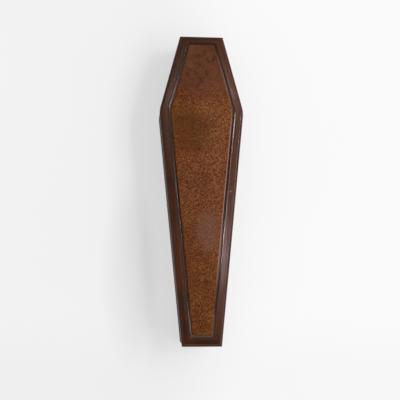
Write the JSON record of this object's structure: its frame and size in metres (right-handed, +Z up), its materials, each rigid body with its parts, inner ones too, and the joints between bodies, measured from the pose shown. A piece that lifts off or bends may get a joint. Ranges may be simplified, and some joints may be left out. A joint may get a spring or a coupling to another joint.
{
  "type": "plastic coffin",
  "caption": "Six-sided coffin of glossy dark brown moulded plastic, with a lift-off lid that carries a raised, mottled burr-effect panel inside a beaded border",
  "frame": {"origin": "middle of the underside, under the middle of the coffin's length and width", "axes": "+Z up out of the lid, +Y along the length towards the head end, +X towards the right side seen from above with the head end up"},
  "size_m": [0.5212, 1.92, 0.3013],
  "materials": {
    "mahogany_brown_plastic": "glossy compression-moulded phenolic plastic, dark mahogany brown with faint red-brown swirls",
    "burr_mottled_plastic": "glossy phenolic plastic, amber brown with a fine dark burr-wood mottle"
  },
  "bodies": {
    "root": {"coffin_base": "mahogany_brown_plastic", "lid": "mahogany_brown_plastic", "lid_panel": "burr_mottled_plastic"}
  },
  "joints": []
}
